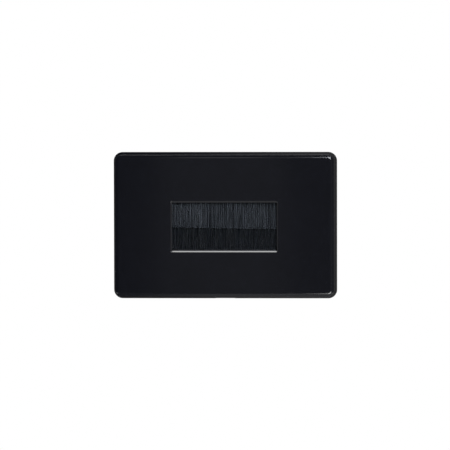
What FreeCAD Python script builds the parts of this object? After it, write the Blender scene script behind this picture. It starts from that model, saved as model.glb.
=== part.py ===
"""Brush cable grommet: a wall plate with a rectangular cable opening closed by two rows of bristles.

A clip-on cover hides a mounting plate that screws to the wall. Behind the cover's opening the mounting
plate has two troughs. Each holds a strip brush: a folded metal channel in which the bristles are bent
round a core wire. The upper bristles lean forward and overlap the lower ones, so that they close round
a cable.

Millimetres. +X is right and +Z is up, as seen from the room. The wall is the plane Y = 0, the room is
on the -Y side, and the origin lies midway between the two fixing screws. A depth is a distance from
the wall into the room.
"""
import FreeCAD
import Part

import math
import os
import random

# Cover plate
COVER_WIDTH = 116.0
COVER_HEIGHT = 76.0
COVER_DEPTH = 10.0
COVER_CORNER_RADIUS = 4.6
LEAST_CORNER_RADIUS = 0.5
COVER_WALL = 1.8
FACE_THICKNESS = 2.0
SIDE_LEAN = 1.3
SIDE_EDGE_ROUND = 0.25
BORDER_WIDTH = 1.5
BORDER_DROP = 0.5
BORDER_EDGE_ROUND = 3.0
PRY_SLOT_WIDTH = 10.0
PRY_SLOT_DEPTH = 1.2

# Cable opening in the cover
OPENING_WIDTH = 54.2
OPENING_HEIGHT = 25.0
OPENING_DROP = 0.5
OPENING_CHAMFER_WIDTH = 0.75
OPENING_CHAMFER_DEPTH = 0.6
OPENING_EDGE_ROUND = 0.6
OPENING_CORNER_RADIUS = 0.4
REBATE_WIDTH = 1.6
REBATE_DEPTH = 0.7

# Mounting plate
COVER_GAP = 0.35
DECK_GAP = 2.0
DECK_THICKNESS = 2.0
RIM_WALL = 1.6
DECK_EDGE_ROUND = 0.5
FRAME_WALL = 1.6
FRAME_SETBACK = 1.0
RIB_THICKNESS = 1.2
RIB_CLEAR_OF_WALL = 1.0
TOP_RIB_SPACING = 30.0

# Fixing screws
SCREW_SPACING = 84.0
SCREW_HOLE_RADIUS = 2.1
SCREW_HEAD_RADIUS = 3.9
SCREW_HEAD_DEPTH = 2.4
BOSS_WALL = 1.6

# Clips that hold the cover on the mounting plate
CLIP_SPACING = 64.0
CLIP_LENGTH = 8.0
CLIP_RISE = 0.8
CLIP_DEPTH = 1.8
CLIP_THICKNESS = 1.6
CLIP_PLAY = 0.25

# Pads on the back of the cover that meet the mounting plate
PAD_SPACING_X = 76.0
PAD_SPACING_Z = 52.0
PAD_LENGTH = 12.0
PAD_THICKNESS = 1.4
PAD_PLAY = 0.2

# Strip brushes
CHANNEL_HEIGHT = 5.5
CHANNEL_SHEET = 0.6
CHANNEL_PLAY = 0.15
CHANNEL_BEND_RADIUS = 0.5
CHANNEL_PINCH_HEIGHT = 1.6
CHANNEL_BEARING = 1.5
LOWER_MOUTH_SHOW = 0.5
MOUTH_GAP = 0.2
WIRE_RADIUS = 0.7
BRISTLE_FIT = 0.05

# Bristle curtains
CURTAIN_THICKNESS = 1.4
CURTAIN_END_GAP = 0.5
UPPER_OVERLAP = 1.1
UPPER_TRIM_FALL = 0.8
LOWER_OVERLAP = 0.8
LOWER_TRIM_FALL = 0.0
UPPER_LEAN_DEG = 8.0
LOWER_LEAN_DEG = 0.0
TUFT_PITCH = 0.9
TUFT_ROOT_WIDTH = 0.64
TUFT_TIP_WIDTH = 0.5
TUFT_SPLIT = 1.0
TUFT_SWAY = 0.1
TIP_RAGGEDNESS = 0.3

# Cuts run past the faces they open by this much, and added solids sink into their carrier by it
PAST = 0.5

# Depths closer than this are one depth
SAME_DEPTH = 0.0001

X_AXIS = FreeCAD.Vector(1, 0, 0)
Y_AXIS = FreeCAD.Vector(0, 1, 0)
SIDES = (-1, 1)

# Places that follow from the sizes above, as depths from the wall unless the name says otherwise
FACE_BACK = COVER_DEPTH - FACE_THICKNESS
EDGE_DEPTH = COVER_DEPTH - BORDER_DROP
DECK_FRONT = FACE_BACK - DECK_GAP
DECK_BACK = DECK_FRONT - DECK_THICKNESS
RIM_INSET = COVER_WALL + COVER_GAP
BOSS_RADIUS = SCREW_HEAD_RADIUS + BOSS_WALL

FOLD_RADIUS = WIRE_RADIUS + BRISTLE_FIT + CURTAIN_THICKNESS / 2
CHANNEL_INSIDE = 2 * (FOLD_RADIUS + BRISTLE_FIT)
CHANNEL_WIDTH = CHANNEL_INSIDE + 2 * CHANNEL_SHEET
MOUTH_WIDTH = CURTAIN_THICKNESS + 2 * MOUTH_GAP
WIRE_HEIGHT = CHANNEL_HEIGHT - CHANNEL_SHEET - BRISTLE_FIT - FOLD_RADIUS
CHANNEL_DEPTH = FACE_BACK - CHANNEL_PLAY - CHANNEL_WIDTH / 2
MOUTH_Z = OPENING_HEIGHT / 2 + OPENING_DROP - LOWER_MOUTH_SHOW

FRAME_OPENING_WIDTH = OPENING_WIDTH + 2 * FRAME_SETBACK
FRAME_OPENING_HEIGHT = 2 * (MOUTH_Z - CHANNEL_PLAY)
CHANNEL_LENGTH = FRAME_OPENING_WIDTH + 2 * CHANNEL_BEARING
TROUGH_LENGTH = CHANNEL_LENGTH + 2 * CHANNEL_PLAY
TROUGH_TOP_Z = MOUTH_Z + CHANNEL_HEIGHT + CHANNEL_PLAY
TROUGH_FLOOR = CHANNEL_DEPTH - CHANNEL_WIDTH / 2 - CHANNEL_PLAY
FRAME_BACK = TROUGH_FLOOR - FRAME_WALL
CURTAIN_WIDTH = FRAME_OPENING_WIDTH - 2 * CURTAIN_END_GAP


def point(x, depth, z):
    """A point at a depth from the wall into the room."""
    return FreeCAD.Vector(x, -depth, z)


def box(x_range, depth_range, z_range):
    """A block between two values each of x, depth and z."""
    x0, x1 = sorted(x_range)
    d0, d1 = sorted(depth_range)
    z0, z1 = sorted(z_range)
    return Part.makeBox(x1 - x0, d1 - d0, z1 - z0, point(x0, d1, z0))


def centred_box(width, depth_range, height):
    """A block centred on the Y axis."""
    return box((-width / 2, width / 2), depth_range, (-height / 2, height / 2))


def cylinder(radius, x, depth_range):
    """A cylinder square to the wall, at height zero."""
    d0, d1 = sorted(depth_range)
    return Part.makeCylinder(radius, d1 - d0, point(x, d0, 0), -Y_AXIS)


def rounded_wire(corners, radii):
    """A closed outline through the corners, each rounded to its own radius, or sharp where that is zero."""
    edges = []
    count = len(corners)
    starts, ends, middles = [], [], []
    for i, corner in enumerate(corners):
        to_last = (corners[i - 1] - corner).normalize()
        to_next = (corners[(i + 1) % count] - corner).normalize()
        half = to_last.getAngle(to_next) / 2
        cut = radii[i] / math.tan(half)
        centre_way = (to_last + to_next).normalize()
        starts.append(corner + to_last * cut)
        ends.append(corner + to_next * cut)
        middles.append(corner + centre_way * (radii[i] / math.sin(half) - radii[i]))
    for i in range(count):
        if radii[i] > 0:
            edges.append(Part.Arc(starts[i], middles[i], ends[i]).toShape())
        edges.append(Part.LineSegment(ends[i], starts[(i + 1) % count]).toShape())
    return Part.Wire(edges)


def rounded_rectangle(width, height, radius, depth):
    """A rectangle with rounded corners, centred on the Y axis at a depth."""
    corners = [
        point(x * width / 2, depth, z * height / 2)
        for x, z in ((-1, -1), (1, -1), (1, 1), (-1, 1))
    ]
    return rounded_wire(corners, [radius] * len(corners))


def cover_outline(inset, depth):
    """The cover's outline at the wall, brought in by an inset, at a depth."""
    radius = max(COVER_CORNER_RADIUS - inset, LEAST_CORNER_RADIUS)
    return rounded_rectangle(COVER_WIDTH - 2 * inset, COVER_HEIGHT - 2 * inset, radius, depth)


def side_inset(depth):
    """How far the leaning side of the cover has come in at a depth."""
    return SIDE_LEAN * depth / EDGE_DEPTH


def tapered_block(inset, depth_range):
    """A block whose sides lean as the cover's do, at an inset from them."""
    return Part.makeLoft([cover_outline(inset + side_inset(d), d) for d in depth_range], True, True)


def edges_at_depth(shape, depth, half_width=math.inf):
    """The edges that lie wholly at a depth, and within a distance of the middle to the left and right."""
    def within(bounds):
        level = abs(bounds.YMin + depth) < SAME_DEPTH and abs(bounds.YMax + depth) < SAME_DEPTH
        return level and -half_width < bounds.XMin and bounds.XMax < half_width

    return [edge for edge in shape.Edges if within(edge.BoundBox)]


def extruded(wire, direction):
    return Part.Face(wire).extrude(direction)


def joined(first, *others):
    """The solids as one, with faces that lie in one plane merged."""
    return first.fuse(list(others)).removeSplitter()


# Cover plate

def cable_opening():
    """What the opening takes out of the face: a straight cut with a chamfer towards the room, and a rebate
    behind each end, where the leaning bristles come close to the face."""
    land = COVER_DEPTH - OPENING_CHAMFER_DEPTH
    straight = rounded_rectangle(OPENING_WIDTH, OPENING_HEIGHT, OPENING_CORNER_RADIUS, FACE_BACK - PAST)
    reach = land - (FACE_BACK - PAST)

    def widened(by, depth):
        width, height = OPENING_WIDTH + 2 * by, OPENING_HEIGHT + 2 * by
        return rounded_rectangle(width, height, OPENING_CORNER_RADIUS + by, depth)

    slope = OPENING_CHAMFER_WIDTH / OPENING_CHAMFER_DEPTH
    chamfer_mouth = widened(OPENING_CHAMFER_WIDTH + slope * PAST, COVER_DEPTH + PAST)
    chamfer = Part.makeLoft([widened(0, land), chamfer_mouth], True, True)
    rebate = centred_box(
        OPENING_WIDTH + 2 * REBATE_WIDTH,
        (FACE_BACK - PAST, FACE_BACK + REBATE_DEPTH),
        OPENING_HEIGHT - 2 * OPENING_CORNER_RADIUS,
    )
    opening = extruded(straight, -Y_AXIS * reach).fuse([chamfer, rebate])
    opening.translate(FreeCAD.Vector(0, 0, -OPENING_DROP))
    return opening


def cover_shell():
    """The leaning sides round a hollow back, and the face, with a border that slopes to the sides and the
    cable opening cut through."""
    sides = tapered_block(0, (0, EDGE_DEPTH))
    border_foot = cover_outline(SIDE_LEAN, EDGE_DEPTH)
    border_top = cover_outline(SIDE_LEAN + BORDER_WIDTH, COVER_DEPTH)
    outside = sides.fuse(Part.makeLoft([border_foot, border_top], True, True))
    outside = outside.makeFillet(SIDE_EDGE_ROUND, edges_at_depth(outside, EDGE_DEPTH))
    outside = outside.makeFillet(BORDER_EDGE_ROUND, edges_at_depth(outside, COVER_DEPTH))
    hollow = tapered_block(COVER_WALL, (-PAST, FACE_BACK))
    shell = outside.cut([hollow, cable_opening()])
    chamfer_reach = OPENING_WIDTH / 2 + OPENING_CHAMFER_WIDTH + PAST
    return shell.makeFillet(OPENING_EDGE_ROUND, edges_at_depth(shell, COVER_DEPTH, chamfer_reach))


def clip_profile(side, x):
    """A clip's section: a ramp towards the wall and a square shoulder towards the face."""
    def inner_skin(depth):
        return COVER_HEIGHT / 2 - COVER_WALL - side_inset(depth)

    shoulder = CLIP_DEPTH + CLIP_THICKNESS
    crest = CLIP_DEPTH + CLIP_THICKNESS / 2
    corners = [
        point(x, CLIP_DEPTH, side * (inner_skin(CLIP_DEPTH) + PAST)),
        point(x, CLIP_DEPTH, side * inner_skin(CLIP_DEPTH)),
        point(x, crest, side * (inner_skin(crest) - CLIP_RISE)),
        point(x, shoulder, side * (inner_skin(shoulder) - CLIP_RISE)),
        point(x, shoulder, side * (inner_skin(shoulder) + PAST)),
    ]
    return Part.makePolygon(corners + corners[:1])


def cover_clips():
    clips = []
    for side in SIDES:
        for end in SIDES:
            start = end * CLIP_SPACING / 2 - CLIP_LENGTH / 2
            clips.append(extruded(clip_profile(side, start), X_AXIS * CLIP_LENGTH))
    return clips


def cover_pads():
    """Short ribs on the back of the face that stop just clear of the mounting plate."""
    pads = []
    for side in SIDES:
        for end in SIDES:
            x, z = end * PAD_SPACING_X / 2, side * PAD_SPACING_Z / 2
            pads.append(
                box(
                    (x - PAD_LENGTH / 2, x + PAD_LENGTH / 2),
                    (DECK_FRONT + PAD_PLAY, FACE_BACK + PAST),
                    (z - PAD_THICKNESS / 2, z + PAD_THICKNESS / 2),
                )
            )
    return pads


def cover_plate():
    shell = joined(cover_shell(), *cover_clips(), *cover_pads())
    low_edge = -COVER_HEIGHT / 2
    pry_slot = box(
        (-PRY_SLOT_WIDTH / 2, PRY_SLOT_WIDTH / 2),
        (-PAST, PRY_SLOT_DEPTH),
        (low_edge - PAST, low_edge + RIM_INSET),
    )
    return shell.cut(pry_slot)


# Mounting plate

def plate_tray():
    """The deck with its edge rounded towards the room, and the rim that stands on the wall."""
    outside = tapered_block(RIM_INSET, (0, DECK_FRONT))
    outside = outside.makeFillet(DECK_EDGE_ROUND, edges_at_depth(outside, DECK_FRONT))
    return outside.cut(tapered_block(RIM_INSET + RIM_WALL, (-PAST, DECK_BACK)))


def brush_frame():
    """Walls round the opening, widened above and below it for the troughs."""
    frame = centred_box(
        FRAME_OPENING_WIDTH + 2 * FRAME_WALL, (FRAME_BACK, DECK_FRONT), 2 * (TROUGH_TOP_Z + FRAME_WALL)
    )
    low = FRAME_OPENING_HEIGHT / 2 - FRAME_WALL
    high = TROUGH_TOP_Z + FRAME_WALL
    half_length = TROUGH_LENGTH / 2 + FRAME_WALL
    wings = [
        box((-half_length, half_length), (FRAME_BACK, DECK_FRONT), (side * low, side * high)) for side in SIDES
    ]
    return frame.fuse(wings)


def brush_troughs():
    """The troughs, open towards the room and towards the opening, and the opening itself."""
    cuts = [centred_box(FRAME_OPENING_WIDTH, (-PAST, DECK_FRONT + PAST), FRAME_OPENING_HEIGHT)]
    half_length = TROUGH_LENGTH / 2
    for side in SIDES:
        low = FRAME_OPENING_HEIGHT / 2
        cuts.append(
            box(
                (-half_length, half_length),
                (TROUGH_FLOOR, DECK_FRONT + PAST),
                (side * low, side * TROUGH_TOP_Z),
            )
        )
    return cuts


def plate_ribs():
    """Ribs behind the deck: along the screws' line, across each boss, and from the frame to the long
    sides."""
    depths = (RIB_CLEAR_OF_WALL, DECK_BACK + PAST)
    inside = COVER_HEIGHT / 2 - RIM_INSET - RIM_WALL / 2
    frame_side = FRAME_OPENING_WIDTH / 2 + FRAME_WALL / 2
    frame_top = TROUGH_TOP_Z + FRAME_WALL / 2
    end = COVER_WIDTH / 2 - RIM_INSET - RIM_WALL / 2
    half = RIB_THICKNESS / 2
    ribs = []
    for side in SIDES:
        ribs.append(box((side * frame_side, side * end), depths, (-half, half)))
        boss_x = side * SCREW_SPACING / 2
        ribs.append(box((boss_x - half, boss_x + half), depths, (-inside, inside)))
        for level in SIDES:
            x = side * TOP_RIB_SPACING / 2
            ribs.append(box((x - half, x + half), depths, (level * frame_top, level * inside)))
    return ribs


def screw_bosses():
    return [cylinder(BOSS_RADIUS, side * SCREW_SPACING / 2, (0, DECK_BACK + PAST)) for side in SIDES]


def screw_holes():
    """Through holes with a flat seat for each screw head, sunk below the deck."""
    cuts = []
    for side in SIDES:
        x = side * SCREW_SPACING / 2
        cuts.append(cylinder(SCREW_HOLE_RADIUS, x, (-PAST, DECK_FRONT)))
        cuts.append(cylinder(SCREW_HEAD_RADIUS, x, (DECK_FRONT - SCREW_HEAD_DEPTH, DECK_FRONT + PAST)))
    return cuts


def clip_windows():
    """Windows in the rim that the cover's clips snap into."""
    windows = []
    depths = (CLIP_DEPTH - CLIP_PLAY, CLIP_DEPTH + CLIP_THICKNESS + CLIP_PLAY)
    half_length = CLIP_LENGTH / 2 + CLIP_PLAY
    outer = COVER_HEIGHT / 2
    inner = outer - RIM_INSET - RIM_WALL - side_inset(DECK_FRONT) - PAST
    for side in SIDES:
        for end in SIDES:
            x = end * CLIP_SPACING / 2
            windows.append(box((x - half_length, x + half_length), depths, (side * inner, side * outer)))
    return windows


def mounting_plate():
    body = joined(plate_tray(), brush_frame(), *plate_ribs(), *screw_bosses())
    return body.cut(brush_troughs() + screw_holes() + clip_windows())


# Strip brushes, drawn as the upper one: the mouth faces down, and v is the height above the mouth

def brush_point(x, u, v):
    """A point in the upper brush: u is across the channel towards the wall, v above its mouth."""
    return point(x, CHANNEL_DEPTH - u, MOUTH_Z + v)


def brush_channel():
    """A strip of sheet metal folded to a U, with its mouth pinched in on the bristles."""
    outer, inner = CHANNEL_WIDTH / 2, CHANNEL_INSIDE / 2
    lip, mouth = MOUTH_WIDTH / 2 + CHANNEL_SHEET, MOUTH_WIDTH / 2
    top, under_top = CHANNEL_HEIGHT, CHANNEL_HEIGHT - CHANNEL_SHEET
    outer_bend, inner_bend = CHANNEL_BEND_RADIUS + CHANNEL_SHEET, CHANNEL_BEND_RADIUS
    section = [
        (-lip, 0, 0), (-outer, CHANNEL_PINCH_HEIGHT, 0), (-outer, top, outer_bend), (outer, top, outer_bend),
        (outer, CHANNEL_PINCH_HEIGHT, 0), (lip, 0, 0), (mouth, 0, 0), (inner, CHANNEL_PINCH_HEIGHT, 0),
        (inner, under_top, inner_bend), (-inner, under_top, inner_bend), (-inner, CHANNEL_PINCH_HEIGHT, 0),
        (-mouth, 0, 0),
    ]
    start = -CHANNEL_LENGTH / 2
    corners = [brush_point(start, u, v) for u, v, radius in section]
    wire = rounded_wire(corners, [radius for u, v, radius in section])
    return extruded(wire, X_AXIS * CHANNEL_LENGTH)


def core_wire():
    start = brush_point(-CHANNEL_LENGTH / 2, 0, WIRE_HEIGHT)
    return Part.makeCylinder(WIRE_RADIUS, CHANNEL_LENGTH, start, X_AXIS)


def bristle_fold():
    """The bristles inside the channel, bent over the core wire and gathered at the mouth."""
    start = -CURTAIN_WIDTH / 2
    mouth = MOUTH_WIDTH / 2 - BRISTLE_FIT
    legs = [(-FOLD_RADIUS, WIRE_HEIGHT), (-FOLD_RADIUS, CHANNEL_PINCH_HEIGHT), (-mouth, 0), (mouth, 0),
            (FOLD_RADIUS, CHANNEL_PINCH_HEIGHT), (FOLD_RADIUS, WIRE_HEIGHT)]
    corners = [brush_point(start, u, v) for u, v in legs]
    bend = Part.Arc(corners[-1], brush_point(start, 0, WIRE_HEIGHT + FOLD_RADIUS), corners[0])
    wire = Part.Wire(Part.makePolygon(corners).Edges + [bend.toShape()])
    hole = Part.makeCylinder(
        WIRE_RADIUS + BRISTLE_FIT, CURTAIN_WIDTH, brush_point(start, 0, WIRE_HEIGHT), X_AXIS
    )
    return extruded(wire, X_AXIS * CURTAIN_WIDTH).cut(hole)


def tuft_comb(count, length, trim_fall, near, far, chance):
    """One layer of the curtain, hanging straight from the mouth: tufts split by gaps and cut off unevenly
    along a line that falls from left to right."""
    half = CURTAIN_WIDTH / 2
    rooted = CHANNEL_PINCH_HEIGHT / 2
    first = -(count - 1) / 2 * TUFT_PITCH
    outline = [(-half, rooted), (-half, -TUFT_SPLIT)]
    for i in range(count):
        x = first + i * TUFT_PITCH
        tip_x = x + chance.uniform(-TUFT_SWAY, TUFT_SWAY)
        trim = -length - trim_fall * x / CURTAIN_WIDTH
        tip = trim + chance.uniform(-TIP_RAGGEDNESS, TIP_RAGGEDNESS)
        outline += [
            (x - TUFT_ROOT_WIDTH / 2, -TUFT_SPLIT),
            (tip_x - TUFT_TIP_WIDTH / 2, tip),
            (tip_x + TUFT_TIP_WIDTH / 2, tip),
            (x + TUFT_ROOT_WIDTH / 2, -TUFT_SPLIT),
        ]
    outline += [(half, -TUFT_SPLIT), (half, rooted)]
    corners = [brush_point(x, near, v) for x, v in outline]
    return extruded(Part.makePolygon(corners + corners[:1]), Y_AXIS * (far - near))


def bristles(overlap, trim_fall, lean_deg, seed):
    """A curtain of bristles: the fold in the channel and two staggered layers of tufts that lean together."""
    chance = random.Random(seed)
    lean = math.radians(lean_deg)
    length = (MOUTH_Z + overlap) / math.cos(lean)
    count = int((CURTAIN_WIDTH - TUFT_ROOT_WIDTH) / TUFT_PITCH) + 1
    front = tuft_comb(count, length, trim_fall, -CURTAIN_THICKNESS / 2, 0, chance)
    back = tuft_comb(count - 1, length, trim_fall, 0, CURTAIN_THICKNESS / 2, chance)
    curtain = front.fuse(back)
    curtain.rotate(brush_point(0, 0, 0), X_AXIS, -lean_deg)
    return joined(bristle_fold(), curtain)


def turned_over(shape):
    """The lower brush's place for a solid of the upper one."""
    return shape.mirror(FreeCAD.Vector(0, 0, 0), FreeCAD.Vector(0, 0, 1))


def build():
    return {
        "cover_plate": cover_plate(),
        "mounting_plate": mounting_plate(),
        "upper_brush_channel": brush_channel(),
        "upper_core_wire": core_wire(),
        "upper_bristles": bristles(UPPER_OVERLAP, UPPER_TRIM_FALL, UPPER_LEAN_DEG, seed=1),
        "lower_brush_channel": turned_over(brush_channel()),
        "lower_core_wire": turned_over(core_wire()),
        "lower_bristles": turned_over(bristles(LOWER_OVERLAP, LOWER_TRIM_FALL, LOWER_LEAN_DEG, seed=2)),
    }


os.makedirs("parts", exist_ok=True)
for node, shape in build().items():
    shape.exportStep(os.path.join("parts", node + ".step"))
    print(node, "solids", len(shape.Solids), "valid", shape.isValid(), "volume", round(shape.Volume, 1))
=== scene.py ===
"""Looks of the brush cable grommet: a gloss black wall plate whose opening is closed by two strip brushes.

Metres. +X is right and +Z is up, as seen from the room. The wall is the plane Y = 0, and the room is on
the -Y side.
"""

from dataclasses import dataclass
import math
import random

import bmesh
import bpy
from mathutils import Matrix, Quaternion, Vector


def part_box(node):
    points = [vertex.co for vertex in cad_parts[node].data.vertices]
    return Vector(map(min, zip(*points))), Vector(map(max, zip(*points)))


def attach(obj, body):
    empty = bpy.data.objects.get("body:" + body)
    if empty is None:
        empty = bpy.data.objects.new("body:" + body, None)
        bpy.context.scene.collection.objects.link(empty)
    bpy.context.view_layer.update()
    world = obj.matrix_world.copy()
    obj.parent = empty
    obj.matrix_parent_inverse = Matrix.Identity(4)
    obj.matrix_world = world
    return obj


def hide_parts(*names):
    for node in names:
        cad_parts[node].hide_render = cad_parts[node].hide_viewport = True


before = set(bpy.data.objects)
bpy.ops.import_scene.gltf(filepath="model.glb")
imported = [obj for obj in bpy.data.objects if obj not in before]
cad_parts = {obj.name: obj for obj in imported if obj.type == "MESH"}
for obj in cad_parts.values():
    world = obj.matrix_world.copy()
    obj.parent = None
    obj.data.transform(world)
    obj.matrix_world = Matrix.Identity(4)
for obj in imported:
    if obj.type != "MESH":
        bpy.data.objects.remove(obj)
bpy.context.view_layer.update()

MM = 0.001
BODY = "root"

# Camera, at the photograph's viewing angle
CAMERA_AZIMUTH = math.radians(3.0)
CAMERA_ELEVATION = math.radians(2.2)
CAMERA_ROLL = math.radians(-0.11)
CAMERA_DISTANCE = 2.0
CAMERA_REACH = 20.0
CAMERA_AIM = Vector((-0.19, 0, 0.07)) * MM
VIEW_WIDTH = 233.6 * MM
SENSOR_WIDTH_MM = 36.0

# Smooth copies of the moulded, folded and drawn solids
MERGE_DISTANCE = 0.001 * MM
FLAT_ANGLE = math.radians(0.4)
SMOOTH_ANGLE = math.radians(32)
LARGE_FACE_WEIGHT = 100

# Patterns of the finishes
GLOSS_CLOUD = 14 * MM
GLOSS_WEAR = 12 * MM
GLOSS_RIPPLE = 6 * MM
GLOSS_RIPPLE_HEIGHT = 0.002 * MM
MATT_CLOUD = 9 * MM
METAL_CLOUD = 4 * MM

# Patterns drawn coarser than the real ones, which are too fine to show
MATT_GRAIN = 0.35 * MM
MATT_GRAIN_HEIGHT = 0.02 * MM
ROLLING_LINE = 0.3 * MM
DIE_LINE = 0.15 * MM
METAL_LINE_HEIGHT = 0.004 * MM
METAL_LINE_STRETCH = 25

# Typical refraction of the plastics
ABS_IOR = 1.54
NYLON_IOR = 1.53

# Sockets of a Mix node that mixes colours
MIX_SHARE, MIX_FROM, MIX_TO = 0, 6, 7
MIX_RESULT = 2

# Signs of the two sides of a curtain along Y, and of the ways that bristles point along Z
FRONT, BACK = -1, 1
DOWN, UP = -1, 1

# Filaments, thicker than real ones so that they show
FILAMENT_RADIUS = 0.12 * MM
FILAMENT_PITCH = 0.1 * MM
FILAMENT_CURVE_ORDER = 3
FILAMENT_CURVE_STEPS = 2

# Filaments in the channel, folded over the core wire
CURTAIN_HALF_DEPTH = 0.6 * MM
CURTAIN_MIDDLE_GAP = 0.15
WIRE_CLEARANCE = 0.15 * MM
FOLD_SPREAD = 0.4 * MM
FOLD_FULLNESS = 1.35
MOUTH_DEPTH = 1.0 * MM
ROOT_SHOW = 2.4 * MM

# How bristles stray from the common lean: in wide tufts, in clumps and one by one
TUFT_WIDTHS = (4.0 * MM, 12.0 * MM)
TUFT_LEAN_DEG = 1.2
CLUMP_WIDTHS = (0.25 * MM, 1.0 * MM)
CLUMP_PULL = 0.2
CLUMP_DEPTH = 0.1 * MM
CLUMP_LEAN_DEG = 2.8
CLUMP_SHADE_SHARE = 0.5
STRAND_LEAN_DEG = 1.2
STRAND_JITTER = 0.05 * MM
STRAND_BEND = 0.12 * MM
TIP_RAGGEDNESS = 0.1 * MM
FORWARD_LIMIT_DEG = 4.0

# How the front and back legs of the bristles differ
SPLAY_DEG = 0.8
FRONT_NARROWING = 0.955
FRONT_LOOSENESS = 1.0
BACK_LOOSENESS = 0.1
BACK_SPREAD = 0.2
# The back legs' strand value is lowered by this much: it paints them in the darkest tone, as painted shade,
# and makes them rougher.
BACK_PAINTED_SHADE_AND_DULLNESS = 1.0

# Floor
FLOOR_SIZE = (2.4, 2.4)
FLOOR_Z = -0.45
FLOOR_FADE = (0.2, 1.1)
FLOOR_PALENESS = 0.55


def linear(code):
    """An sRGB colour such as "#1a1b1c" as linear RGBA."""
    shares = [int(code[i:i + 2], 16) / 255 for i in (1, 3, 5)]
    return [c / 12.92 if c <= 0.04045 else ((c + 0.055) / 1.055) ** 2.4 for c in shares] + [1.0]


def add_node(tree, kind, inputs=None, **settings):
    """Adds a node, sets its properties, and sets or links its inputs by name or number."""
    node = tree.nodes.new(kind)
    for name, value in settings.items():
        setattr(node, name, value)
    for key, value in (inputs or {}).items():
        if isinstance(value, bpy.types.NodeSocket):
            tree.links.new(value, node.inputs[key])
        else:
            node.inputs[key].default_value = value
    return node


def new_material(name, colour, roughness, ior=None, metallic=0.0):
    """A material with its constants on the shader's own sockets, its node tree and its shader."""
    material = bpy.data.materials.new(name)
    material.use_nodes = True
    shader = material.node_tree.nodes["Principled BSDF"]
    shader.inputs["Base Color"].default_value = linear(colour)
    shader.inputs["Roughness"].default_value = roughness
    shader.inputs["Metallic"].default_value = metallic
    if ior:
        shader.inputs["IOR"].default_value = ior
    return material, material.node_tree, shader


# Materials

def gloss_abs():
    """Black ABS moulded in a polished tool: a deep black with a clear, soft-edged sheen.

    The eye sees a faint ripple in reflections where the wall cooled unevenly, slow changes of gloss
    from handling, and a cool black that is never quite one tone.
    """
    material, tree, shader = new_material("gloss_abs", "#121318", 0.09, ior=ABS_IOR)
    place = add_node(tree, "ShaderNodeTexCoord").outputs["Object"]
    tone = add_node(tree, "ShaderNodeTexNoise", {"Vector": place, "Scale": 1 / GLOSS_CLOUD, "Detail": 3.0})
    colour = add_node(
        tree,
        "ShaderNodeMix",
        {MIX_SHARE: tone.outputs["Fac"], MIX_FROM: linear("#101116"), MIX_TO: linear("#14151b")},
        data_type="RGBA",
    )
    gloss = add_node(tree, "ShaderNodeTexNoise", {"Vector": place, "Scale": 1 / GLOSS_WEAR, "Detail": 1.0})
    roughness = add_node(
        tree, "ShaderNodeMapRange", {"Value": gloss.outputs["Fac"], "To Min": 0.08, "To Max": 0.095}
    )
    ripple = add_node(
        tree, "ShaderNodeTexNoise", {"Vector": place, "Scale": 1 / GLOSS_RIPPLE, "Detail": 0.0}
    )
    bump = add_node(
        tree, "ShaderNodeBump", {"Height": ripple.outputs["Fac"], "Distance": GLOSS_RIPPLE_HEIGHT}
    )
    tree.links.new(colour.outputs[MIX_RESULT], shader.inputs["Base Color"])
    tree.links.new(roughness.outputs["Result"], shader.inputs["Roughness"])
    tree.links.new(bump.outputs["Normal"], shader.inputs["Normal"])
    return material


def matt_abs():
    """Black ABS moulded in a spark-eroded tool: a flat, slightly grey black with a fine grain."""
    material, tree, shader = new_material("matt_abs", "#1b1b1d", 0.55, ior=ABS_IOR)
    place = add_node(tree, "ShaderNodeTexCoord").outputs["Object"]
    tone = add_node(tree, "ShaderNodeTexNoise", {"Vector": place, "Scale": 1 / MATT_CLOUD, "Detail": 5.0})
    colour = add_node(
        tree,
        "ShaderNodeMix",
        {MIX_SHARE: tone.outputs["Fac"], MIX_FROM: linear("#17171a"), MIX_TO: linear("#202023")},
        data_type="RGBA",
    )
    grain = add_node(tree, "ShaderNodeTexNoise", {"Vector": place, "Scale": 1 / MATT_GRAIN, "Detail": 2.0})
    roughness = add_node(
        tree, "ShaderNodeMapRange", {"Value": grain.outputs["Fac"], "To Min": 0.48, "To Max": 0.64}
    )
    bump = add_node(
        tree,
        "ShaderNodeBump",
        {"Height": grain.outputs["Fac"], "Distance": MATT_GRAIN_HEIGHT, "Strength": 0.6},
    )
    tree.links.new(colour.outputs[MIX_RESULT], shader.inputs["Base Color"])
    tree.links.new(roughness.outputs["Result"], shader.inputs["Roughness"])
    tree.links.new(bump.outputs["Normal"], shader.inputs["Normal"])
    return material


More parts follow.
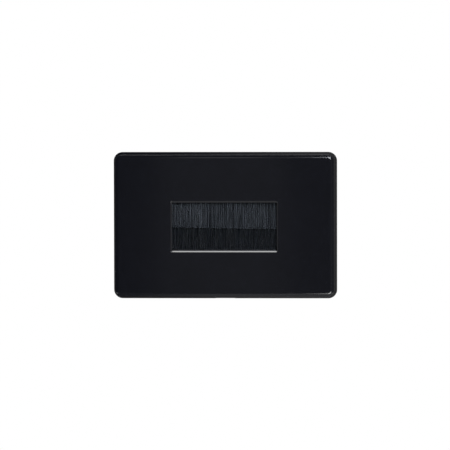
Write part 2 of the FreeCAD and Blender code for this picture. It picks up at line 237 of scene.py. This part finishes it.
def rolled_metal(name, dark, light, line_width, roughness):
    """A metal worked along X: fine lines run its length, and catch light as long soft streaks.

    Roughness is a pair, for the smoothest and the dullest of the lines.
    """
    material, tree, shader = new_material(name, dark, roughness[0], metallic=1.0)
    place = add_node(tree, "ShaderNodeTexCoord").outputs["Object"]
    stretch = add_node(
        tree, "ShaderNodeMapping", {"Vector": place, "Scale": (1 / METAL_LINE_STRETCH, 1.0, 1.0)}
    )
    lines = add_node(
        tree,
        "ShaderNodeTexNoise",
        {"Vector": stretch.outputs["Vector"], "Scale": 1 / line_width, "Detail": 3.0},
    )
    cloud = add_node(tree, "ShaderNodeTexNoise", {"Vector": place, "Scale": 1 / METAL_CLOUD, "Detail": 4.0})
    colour = add_node(
        tree,
        "ShaderNodeMix",
        {MIX_SHARE: cloud.outputs["Fac"], MIX_FROM: linear(dark), MIX_TO: linear(light)},
        data_type="RGBA",
    )
    polish = add_node(
        tree,
        "ShaderNodeMapRange",
        {"Value": lines.outputs["Fac"], "To Min": roughness[0], "To Max": roughness[1]},
    )
    bump = add_node(tree, "ShaderNodeBump", {"Height": lines.outputs["Fac"], "Distance": METAL_LINE_HEIGHT})
    tree.links.new(colour.outputs[MIX_RESULT], shader.inputs["Base Color"])
    tree.links.new(polish.outputs["Result"], shader.inputs["Roughness"])
    tree.links.new(bump.outputs["Normal"], shader.inputs["Normal"])
    return material


def black_zinc_strip():
    """Rolled steel strip, zinc plated and black passivated: a cloudy grey-black with faint lines."""
    return rolled_metal("black_zinc_strip", "#2b2c2f", "#3c3e41", ROLLING_LINE, (0.35, 0.5))


def drawn_steel():
    """Plain drawn steel wire: a mid grey with die lines along its length."""
    return rolled_metal("drawn_steel", "#77787b", "#96979a", DIE_LINE, (0.25, 0.4))


def nylon_filament():
    """Black nylon drawn to filament: each bristle is a thin satin rod of its own shade.

    The eye sees lengthwise streaks of charcoal, because neighbours in a clump catch the light together. The
    back legs are painted in the darkest tone, as painted shade.
    """
    material, tree, shader = new_material("nylon_filament", "#13151a", 0.2, ior=NYLON_IOR)
    shader.inputs["Specular Tint"].default_value = linear("#e9f3ff")
    strand = add_node(tree, "ShaderNodeAttribute", attribute_name="strand").outputs["Fac"]
    # Strand values below 0, on the back legs, clamp to the darkest tone: painted shade.
    colour = add_node(
        tree,
        "ShaderNodeMix",
        {MIX_SHARE: strand, MIX_FROM: linear("#0a0c0f"), MIX_TO: linear("#1b2027")},
        data_type="RGBA",
    )
    roughness = add_node(
        tree,
        "ShaderNodeMapRange",
        {"Value": strand, "From Min": -BACK_PAINTED_SHADE_AND_DULLNESS, "To Min": 0.4, "To Max": 0.12},
    )
    tree.links.new(colour.outputs[MIX_RESULT], shader.inputs["Base Color"])
    tree.links.new(roughness.outputs["Result"], shader.inputs["Roughness"])
    return material


# Moulded, folded and drawn pieces

def show(name, mesh, material, node):
    """Puts a finished mesh in the scene in place of a CAD node."""
    piece = bpy.data.objects.new(name, mesh)
    bpy.context.scene.collection.objects.link(piece)
    mesh.materials.clear()
    mesh.materials.append(material)
    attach(piece, BODY)
    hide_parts(node)
    return piece


def smooth_piece(name, node, material):
    """A copy of a CAD node with its triangles merged, flat faces joined and rounded edges shaded smooth."""
    shape = bmesh.new()
    shape.from_mesh(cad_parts[node].data)
    bmesh.ops.remove_doubles(shape, verts=shape.verts, dist=MERGE_DISTANCE)
    bmesh.ops.dissolve_limit(shape, angle_limit=FLAT_ANGLE, verts=shape.verts, edges=shape.edges)
    for face in shape.faces:
        face.smooth = True
    for edge in shape.edges:
        edge.smooth = len(edge.link_faces) == 2 and edge.calc_face_angle() < SMOOTH_ANGLE
    mesh = bpy.data.meshes.new(name)
    shape.to_mesh(mesh)
    shape.free()
    piece = show(name, mesh, material, node)
    normals = piece.modifiers.new("even_normals", "WEIGHTED_NORMAL")
    normals.mode = "FACE_AREA"
    normals.weight = LARGE_FACE_WEIGHT
    normals.keep_sharp = True


# Bristles

class StripBrush:
    """Where the CAD puts one strip brush, and how its bristles hang from it."""

    def __init__(self, side, away, lean_deg, trim_fall, freedom):
        """Away is the way from the mouth of the channel to the tips along Z.

        Freedom is how far the bristles stray from the common lean, as a share of the upper brush's.
        """
        wire_low, wire_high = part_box(side + "_core_wire")
        channel_low, channel_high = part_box(side + "_brush_channel")
        low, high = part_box(side + "_bristles")
        self.side, self.away, self.freedom = side, away, freedom
        self.lean = math.tan(math.radians(lean_deg))
        self.trim_fall = trim_fall
        self.left, self.right = low.x + FILAMENT_RADIUS, high.x - FILAMENT_RADIUS
        self.wire_y = (wire_low.y + wire_high.y) / 2
        self.wire_radius = (wire_high.z - wire_low.z) / 2
        self.mouth_z = channel_low.z if away == DOWN else channel_high.z
        self.wire_height = abs((wire_low.z + wire_high.z) / 2 - self.mouth_z)
        furthest = low.z if away == DOWN else high.z
        self.length = abs(furthest - self.mouth_z) - TIP_RAGGEDNESS - trim_fall / 2

    def place(self, x, across, out, lean=0.0):
        """A point of the brush: across is towards the wall, out is from the mouth towards the tips."""
        forward = (self.lean + lean) * max(out, 0)
        return Vector((x, self.wire_y + across - forward, self.mouth_z + self.away * out))

    def trimmed(self, x):
        """How far the tips reach from the mouth, along a trim line that falls from left to right."""
        middle, width = (self.left + self.right) / 2, self.right - self.left
        return self.length + self.trim_fall * (x - middle) / width


@dataclass
class Clump:
    """A group of neighbouring bristle legs that cling together."""

    right: float
    middle: float
    depth: float
    lean_deg: float
    reach: float
    shade: float


def clumps(brush, chance):
    """Clumps of uneven width along the front legs, from left to right, in tufts that lean together."""
    groups = []
    start, stop = brush.left * FRONT_NARROWING, brush.right * FRONT_NARROWING
    tuft_end, tuft_lean = start, 0.0
    while start < stop:
        if start >= tuft_end:
            tuft_end = start + chance.uniform(*TUFT_WIDTHS)
            tuft_lean = chance.uniform(-TUFT_LEAN_DEG, TUFT_LEAN_DEG)
        end = min(start + chance.uniform(*CLUMP_WIDTHS), stop)
        groups.append(Clump(
            right=end,
            middle=(start + end) / 2,
            depth=chance.uniform(-CLUMP_DEPTH, CLUMP_DEPTH),
            lean_deg=tuft_lean + chance.uniform(-CLUMP_LEAN_DEG, CLUMP_LEAN_DEG),
            reach=chance.uniform(-TIP_RAGGEDNESS, TIP_RAGGEDNESS) / 2,
            shade=chance.random(),
        ))
        start = end
    return groups


def clump_at(groups, x):
    """The clump at a place along X, or the last one at the right-hand end."""
    return next((clump for clump in groups if x <= clump.right), groups[-1])


def leg(brush, x, side, room, clump, looseness, chance):
    """Control points of one leg of a bristle, from its tip to the mouth of the channel.

    Side is FRONT or BACK, room is how far from the middle of the curtain the leg stands, and looseness
    is how far it follows its clump and strays by itself.
    """
    mouth = side * (CURTAIN_MIDDLE_GAP + (1 - CURTAIN_MIDDLE_GAP) * room) * CURTAIN_HALF_DEPTH
    across = mouth + clump.depth
    stray = min(clump.lean_deg + chance.gauss(0, STRAND_LEAN_DEG), FORWARD_LIMIT_DEG)
    lean = math.radians((looseness * stray - side * SPLAY_DEG) * brush.freedom)
    pull = (clump.middle - x) * CLUMP_PULL * chance.random()
    drift = looseness * (pull + chance.gauss(0, STRAND_JITTER))
    swing = looseness * chance.gauss(0, STRAND_JITTER)
    tip = brush.trimmed(x) + clump.reach + chance.uniform(-TIP_RAGGEDNESS, TIP_RAGGEDNESS) / 2
    tip_bend = looseness * chance.gauss(0, STRAND_BEND)
    middle_bend = looseness * chance.gauss(0, STRAND_BEND)
    return [
        brush.place(x + drift, across + tip_bend, tip, lean),
        brush.place(x + drift / 2 + swing, across + middle_bend, tip / 2, lean),
        brush.place(x, across, ROOT_SHOW, lean),
        brush.place(x, mouth, -MOUTH_DEPTH),
    ]


def hairpin(brush, x, front_x, clump, chance):
    """Control points of one bristle, from its front tip over the core wire to its back tip.

    The front legs cling together in clumps and stand a little in from the ends, and the back legs stand
    in a closer row that shuts out the light between them.
    """
    room = chance.random()
    fold = brush.wire_radius + FILAMENT_RADIUS + WIRE_CLEARANCE + room * FOLD_SPREAD
    bend = [
        brush.place(x, side * fold * FOLD_FULLNESS, -brush.wire_height - fold) for side in (FRONT, BACK)
    ]
    front = leg(brush, front_x, FRONT, room, clump, FRONT_LOOSENESS, chance)
    back = leg(brush, x, BACK, 1 - BACK_SPREAD * room, clump, BACK_LOOSENESS, chance)
    return front + bend + back[::-1]


def add_bristle(curve, points):
    """Adds one bristle to the curve as a smooth line led by its control points."""
    spline = curve.splines.new("NURBS")
    spline.points.add(len(points) - 1)
    for point, place in zip(spline.points, points):
        point.co = (*place, 1.0)
    spline.order_u = FILAMENT_CURVE_ORDER
    spline.use_endpoint_u = True
    spline.resolution_u = FILAMENT_CURVE_STEPS


def mark_shades(mesh, shades):
    """Writes each bristle's shade to the attribute "strand", lower along its back leg, which paints the
    back leg darkest as painted shade and makes it rougher.
    """
    per_bristle = len(mesh.vertices) // len(shades)
    strand = mesh.attributes.new("strand", "FLOAT", "POINT")
    for i, value in enumerate(strand.data):
        bristle, place = divmod(i, per_bristle)
        # The back leg's lower value is painted shade in the colour, and a duller finish in the roughness.
        value.value = shades[bristle] if place < per_bristle / 2 else shades[bristle] - BACK_PAINTED_SHADE_AND_DULLNESS


def bristle_mesh(brush, seed):
    """The brush's bristles as one mesh of thin four-sided rods, each with its own shade."""
    chance = random.Random(seed)
    groups = clumps(brush, chance)
    curve = bpy.data.curves.new(brush.side + "_bristle_lines", "CURVE")
    curve.dimensions = "3D"
    curve.bevel_depth = FILAMENT_RADIUS
    curve.bevel_resolution = 0
    curve.use_fill_caps = True
    shades = []
    count = int((brush.right - brush.left) / FILAMENT_PITCH) + 1
    for i in range(count):
        x = brush.left + i * FILAMENT_PITCH
        front_x = x * FRONT_NARROWING
        clump = clump_at(groups, front_x)
        add_bristle(curve, hairpin(brush, x, front_x, clump, chance))
        shades.append(CLUMP_SHADE_SHARE * clump.shade + (1 - CLUMP_SHADE_SHARE) * chance.random())
    lines = bpy.data.objects.new(curve.name, curve)
    mesh = bpy.data.meshes.new_from_object(lines)
    bpy.data.objects.remove(lines)
    bpy.data.curves.remove(curve)
    mark_shades(mesh, shades)
    return mesh


# Studio

def flat_card(name, width, height, centre, facing):
    """An upright or level sheet that faces a direction, such as a floor or a reflector."""
    shape = bmesh.new()
    bmesh.ops.create_grid(shape, x_segments=1, y_segments=1, size=0.5)
    bmesh.ops.scale(shape, vec=(width, height, 1), verts=shape.verts)
    turn = facing.to_track_quat("Z", "Y").to_matrix().to_4x4()
    bmesh.ops.transform(shape, matrix=Matrix.Translation(centre) @ turn, verts=shape.verts)
    mesh = bpy.data.meshes.new(name)
    shape.to_mesh(mesh)
    shape.free()
    card = bpy.data.objects.new(name, mesh)
    bpy.context.scene.collection.objects.link(card)
    return card


def seen_rays(tree):
    """1 for the rays that show a background: to the camera, in reflections and through glass."""
    rays = add_node(tree, "ShaderNodeLightPath").outputs
    seen = rays["Is Camera Ray"]
    for kind in ("Is Glossy Ray", "Is Transmission Ray"):
        seen = add_node(tree, "ShaderNodeMath", {0: seen, 1: rays[kind]}, operation="MAXIMUM").outputs[0]
    return seen


def pale_board():
    """Matt white board, which the eye sees fading to the white surroundings towards its edges."""
    material, tree, shader = new_material("pale_board", "#e6e6e6", 0.9)
    place = add_node(tree, "ShaderNodeTexCoord").outputs["Object"]
    level = add_node(tree, "ShaderNodeMapping", {"Vector": place, "Scale": (1, 1, 0)})
    distance = add_node(tree, "ShaderNodeVectorMath", {0: level.outputs["Vector"]}, operation="LENGTH")
    fade = add_node(
        tree,
        "ShaderNodeMapRange",
        {
            "Value": distance.outputs["Value"], "From Min": FLOOR_FADE[0], "From Max": FLOOR_FADE[1],
            "To Min": FLOOR_PALENESS, "To Max": 1.0,
        },
        interpolation_type="SMOOTHSTEP",
    )
    share = add_node(
        tree, "ShaderNodeMath", {0: fade.outputs["Result"], 1: seen_rays(tree)}, operation="MULTIPLY"
    )
    white = add_node(tree, "ShaderNodeEmission", {"Color": linear("#ffffff"), "Strength": 1.0})
    mix = add_node(
        tree,
        "ShaderNodeMixShader",
        {0: share.outputs[0], 1: shader.outputs["BSDF"], 2: white.outputs["Emission"]},
    )
    tree.links.new(mix.outputs["Shader"], tree.nodes["Material Output"].inputs["Surface"])
    return material


def graded_tone(name, left, right, left_x, right_x):
    """An even glow that changes from one tone to another between two places along X."""
    material = bpy.data.materials.new(name)
    material.use_nodes = True
    tree = material.node_tree
    tree.nodes.remove(tree.nodes["Principled BSDF"])
    place = add_node(tree, "ShaderNodeTexCoord").outputs["Object"]
    x = add_node(tree, "ShaderNodeSeparateXYZ", {"Vector": place}).outputs["X"]
    share = add_node(tree, "ShaderNodeMapRange", {"Value": x, "From Min": left_x, "From Max": right_x})
    colour = add_node(
        tree,
        "ShaderNodeMix",
        {MIX_SHARE: share.outputs["Result"], MIX_FROM: linear(left), MIX_TO: linear(right)},
        data_type="RGBA",
    )
    glow = add_node(tree, "ShaderNodeEmission", {"Color": colour.outputs[MIX_RESULT], "Strength": 1.0})
    tree.links.new(glow.outputs["Emission"], tree.nodes["Material Output"].inputs["Surface"])
    return material


def flag(name, size, centre, facing, tones, span=(-1.0, 1.0)):
    """A card that only reflections see: it gives gloss black something dark or soft to mirror.

    Tones are its colours to the left and to the right, and span is where along X they change.
    """
    card = flat_card(name, *size, Vector(centre), Vector(facing))
    card.data.materials.append(graded_tone(name, *tones, *span))
    card.visible_camera = False
    card.visible_diffuse = False
    card.visible_shadow = False


def softbox(name, centre, aim, size, radiance, colour="#ffffff"):
    """A rectangular area lamp of an even brightness, where 1 is white."""
    lamp = bpy.data.lights.new(name, "AREA")
    lamp.shape = "RECTANGLE"
    lamp.size, lamp.size_y = size
    lamp.energy = radiance * math.pi * lamp.size * lamp.size_y
    lamp.color = linear(colour)[:3]
    box = bpy.data.objects.new(name, lamp)
    box.location = centre
    box.rotation_euler = (Vector(aim) - Vector(centre)).to_track_quat("-Z", "Y").to_euler()
    bpy.context.scene.collection.objects.link(box)


def white_surroundings(ambient):
    """A world that is white to the camera and in reflections, and gives a softer even light."""
    world = bpy.data.worlds.new("white_surroundings")
    world.use_nodes = True
    tree = world.node_tree
    strength = add_node(
        tree, "ShaderNodeMapRange", {"Value": seen_rays(tree), "To Min": ambient, "To Max": 1.0}
    )
    background = tree.nodes["Background"]
    background.inputs["Color"].default_value = linear("#ffffff")
    tree.links.new(strength.outputs["Result"], background.inputs["Strength"])
    bpy.context.scene.world = world


def reflected_cards():
    """What the gloss black mirrors: dark all round, with soft grey on the sides that show as pale lines."""
    to_wall, to_room, upwards = (0, 1, 0), (0, -1, 0), (0, 0, 1)
    to_right, to_left = (1, 0, 0), (-1, 0, 0)

    # The flat face, which is a little lighter in the middle
    flag(
        "front_flag", size=(3.0, 2.4), centre=(0, -1.0, 0), facing=to_wall,
        tones=("#000000", "#606060"), span=(-0.5, 0.9),
    )
    flag(
        "front_glow", size=(0.1, 0.6), centre=(-0.0525, -0.98, -0.04), facing=to_wall,
        tones=("#606060", "#606060"),
    )

    # The fold lines inside the right-hand edge and along the top
    flag(
        "front_right_card", size=(0.2, 0.36), centre=(0.36, -0.98, -0.03), facing=to_wall,
        tones=("#8c8c8c", "#8c8c8c"),
    )
    flag(
        "front_card", size=(0.066, 0.2), centre=(-0.057, -0.98, 0.36), facing=to_wall,
        tones=("#ffffff", "#ffffff"),
    )

    # The outer sides
    flag(
        "back_flag", size=(0.9, 0.9), centre=(0, 0.3, 0), facing=to_room,
        tones=("#020202", "#404040"), span=(-0.045, 0.04),
    )

    # The lower border
    flag(
        "floor_flag", size=(1.0, 0.8), centre=(0, -0.5, -0.44), facing=upwards,
        tones=("#404040", "#b8b8b8"), span=(-0.1, -0.04),
    )
    flag(
        "edge_card", size=(1.0, 0.14), centre=(0, -0.4, -0.435), facing=upwards,
        tones=("#484848", "#d8d8d8"), span=(-0.09, -0.05),
    )

    # The upper, right and left chamfers of the opening
    flag(
        "bounce_card", size=(0.5, 0.5), centre=(0, -0.08, -0.43), facing=upwards,
        tones=("#bcbcbc", "#bcbcbc"),
    )
    flag(
        "left_flag", size=(0.4, 0.8), centre=(-0.6, -0.15, 0), facing=to_right,
        tones=("#909090", "#909090"),
    )
    flag(
        "right_flag", size=(0.4, 0.8), centre=(0.6, -0.15, 0), facing=to_left,
        tones=("#a0a0a0", "#a0a0a0"),
    )


def lamps():
    """Four softboxes, with a comment on what each one lights most."""
    # The lower chamfer of the opening
    softbox("top_softbox", centre=(0, -0.13, 0.5), aim=(0, 0, 0), size=(0.34, 0.12), radiance=7.5)

    # The right-hand corners, with the upper bristles and the lower bristles
    softbox(
        "upper_right_head", centre=(0.1715, -0.72, 0.285), aim=(0.1, 0, 0.03), size=(0.27, 0.27),
        radiance=9.3, colour="#f4f8ff",
    )
    softbox(
        "lower_right_head", centre=(0.1695, -0.72, -0.24), aim=(0.1, 0, -0.03), size=(0.27, 0.2),
        radiance=8.0,
    )

    # The side towards the wall
    softbox("back_softbox", centre=(-0.4, 0.8, 1.0), aim=(0, 0, 0), size=(0.8, 0.4), radiance=12.0)


def studio():
    """White surroundings, a floor, the cards that the plate mirrors, and the lamps."""
    white_surroundings(ambient=0.3)
    floor = flat_card("floor", *FLOOR_SIZE, Vector((0, 0, FLOOR_Z)), Vector((0, 0, 1)))
    floor.data.materials.append(pale_board())
    reflected_cards()
    lamps()


def camera():
    """A long lens, nearly square to the face."""
    eye = bpy.data.cameras.new("camera")
    eye.sensor_width = SENSOR_WIDTH_MM
    eye.lens = SENSOR_WIDTH_MM * CAMERA_DISTANCE / VIEW_WIDTH
    eye.clip_end = CAMERA_REACH
    stand = bpy.data.objects.new("camera", eye)
    level = math.cos(CAMERA_ELEVATION)
    back = Vector((
        math.sin(CAMERA_AZIMUTH) * level, -math.cos(CAMERA_AZIMUTH) * level, math.sin(CAMERA_ELEVATION)
    ))
    stand.location = CAMERA_AIM + back * CAMERA_DISTANCE
    level_view = (-back).to_track_quat("-Z", "Y")
    stand.rotation_euler = (level_view @ Quaternion((0, 0, 1), CAMERA_ROLL)).to_euler()
    bpy.context.scene.collection.objects.link(stand)
    bpy.context.scene.camera = stand


def grommet():
    """The dressed pieces, each in place of its CAD node."""
    smooth_piece("cover_moulding", "cover_plate", gloss_abs())
    smooth_piece("plate_moulding", "mounting_plate", matt_abs())
    strip, wire, nylon = black_zinc_strip(), drawn_steel(), nylon_filament()
    brushes = [
        StripBrush("upper", away=DOWN, lean_deg=8.0, trim_fall=0.8 * MM, freedom=1.0),
        StripBrush("lower", away=UP, lean_deg=0.0, trim_fall=0.0, freedom=0.5),
    ]
    for seed, brush in enumerate(brushes):
        side = brush.side
        smooth_piece(side + "_folded_channel", side + "_brush_channel", strip)
        smooth_piece(side + "_wire", side + "_core_wire", wire)
        show(side + "_filaments", bristle_mesh(brush, seed), nylon, side + "_bristles")


bpy.context.scene.view_settings.view_transform = "Standard"
grommet()
studio()
camera()
